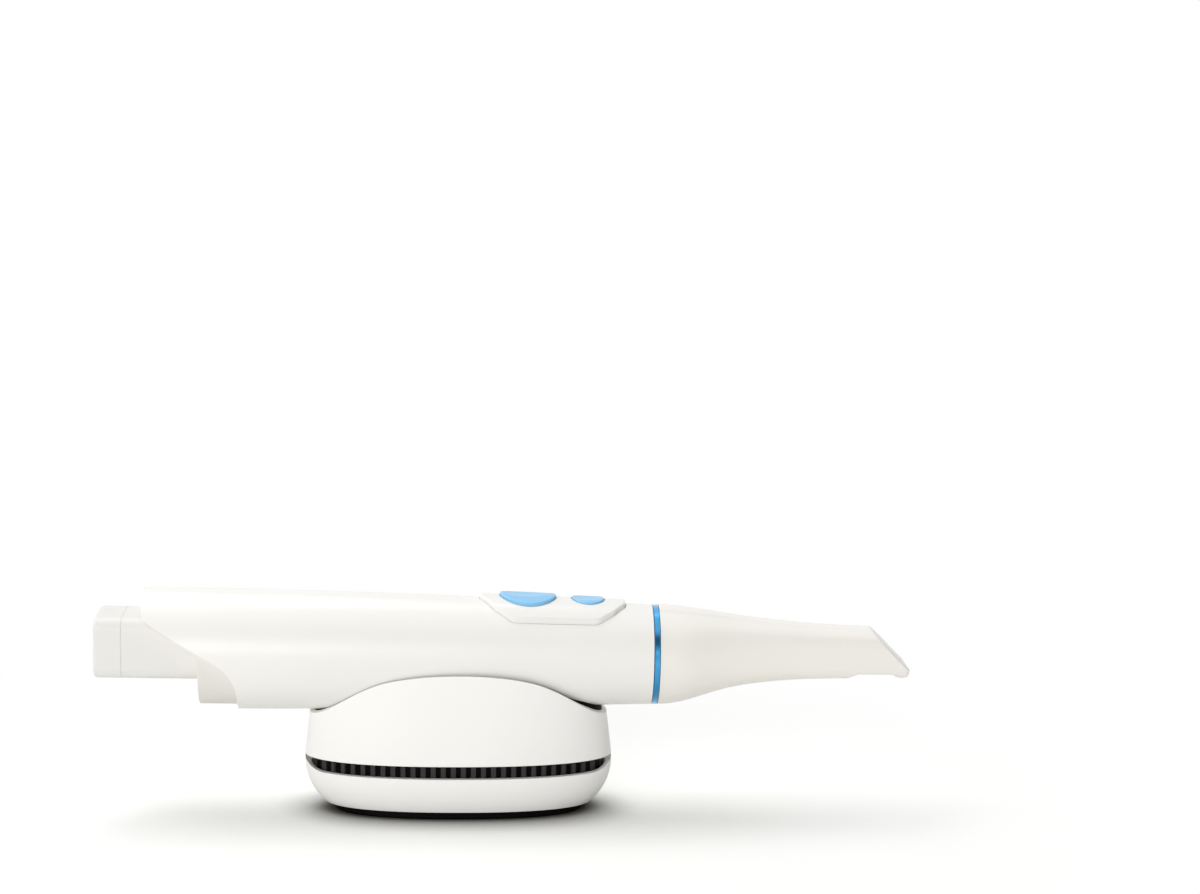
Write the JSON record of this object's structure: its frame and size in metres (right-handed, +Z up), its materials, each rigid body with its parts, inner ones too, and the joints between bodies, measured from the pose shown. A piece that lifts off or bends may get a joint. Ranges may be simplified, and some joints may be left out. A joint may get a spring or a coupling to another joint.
{
  "type": "intraoral scanner",
  "caption": "Wireless dental intraoral scanner lying in its desk cradle, with a pull-off mirrored tip, press buttons and a pull-out battery pack.",
  "frame": {"origin": "centre of the cradle foot's underside, on the table", "axes": "+X along the scanner towards its tip, +Y away from the viewer of the picture, +Z up"},
  "size_m": [0.2853, 0.0436, 0.079],
  "materials": {
    "shell_white": "satin moulded",
    "housing_grey": "fine moulded texture",
    "battery_white": "fine moulded texture",
    "pad_white": "gloss",
    "button_blue": "gloss",
    "ring_blue": "anodised, satin",
    "tip_white": "autoclavable, fine moulded texture",
    "mirror_glass": "front-silvered",
    "cradle_white": "fine moulded texture",
    "vent_dark": "matte",
    "soft_black": "matte",
    "ballast_steel": "zinc plated",
    "screw_steel": "plated",
    "frame_grey": "moulded",
    "nose_white": "satin moulded",
    "board_green": "solder mask",
    "switch_black": "matte",
    "optics_black": "black anodised",
    "lens_glass": "coated, polished",
    "contact_gold": "gold plated",
    "cell_wrap": "heat-shrink wrap"
  },
  "bodies": {
    "handle_in_cradle": {"handle_shell": "shell_white", "rear_housing": "housing_grey", "inner_frame": "frame_grey", "main_board": "board_green", "board_screws": "screw_steel", "battery_connector": "switch_black", "control_pad": "pad_white", "button_board": "board_green", "tact_switches": "switch_black", "nose_barrel": "nose_white", "accent_ring": "ring_blue", "nose_seal": "soft_black", "front_window": "lens_glass", "optics_carrier": "optics_black", "camera_barrel": "optics_black", "camera_lens": "lens_glass", "camera_board": "board_green", "projector_module": "switch_black", "projector_lens": "lens_glass", "cradle_upper_shell": "cradle_white", "cradle_liner": "soft_black", "cradle_vent_ring": "vent_dark", "cradle_lower_shell": "cradle_white", "cradle_ballast": "ballast_steel", "cradle_foot": "soft_black", "cradle_screws": "screw_steel"},
    "tip": {"tip_sleeve": "tip_white", "tip_mirror": "mirror_glass"},
    "battery": {"battery_case": "battery_white", "battery_cap": "battery_white", "battery_cell": "cell_wrap", "battery_terminals": "contact_gold"},
    "scan_key": {"scan_button": "button_blue"},
    "mode_key": {"mode_button": "button_blue"}
  },
  "joints": [
    {"name": "tip_slide", "type": "slide", "parent": "handle_in_cradle", "child": "tip", "axis": [0.9999, 0, -0.0145], "range_m": [0, 0.04]},
    {"name": "battery_slide", "type": "slide", "parent": "handle_in_cradle", "child": "battery", "axis": [-0.9999, 0, 0.0145], "range_m": [0, 0.066]},
    {"name": "scan_button_press", "type": "slide", "parent": "handle_in_cradle", "child": "scan_key", "axis": [-0.0145, 0, -0.9999], "range_m": [0, 0.0006], "stiffness_N_per_m": 1500},
    {"name": "mode_button_press", "type": "slide", "parent": "handle_in_cradle", "child": "mode_key", "axis": [-0.0145, 0, -0.9999], "range_m": [0, 0.0006], "stiffness_N_per_m": 1500}
  ]
}
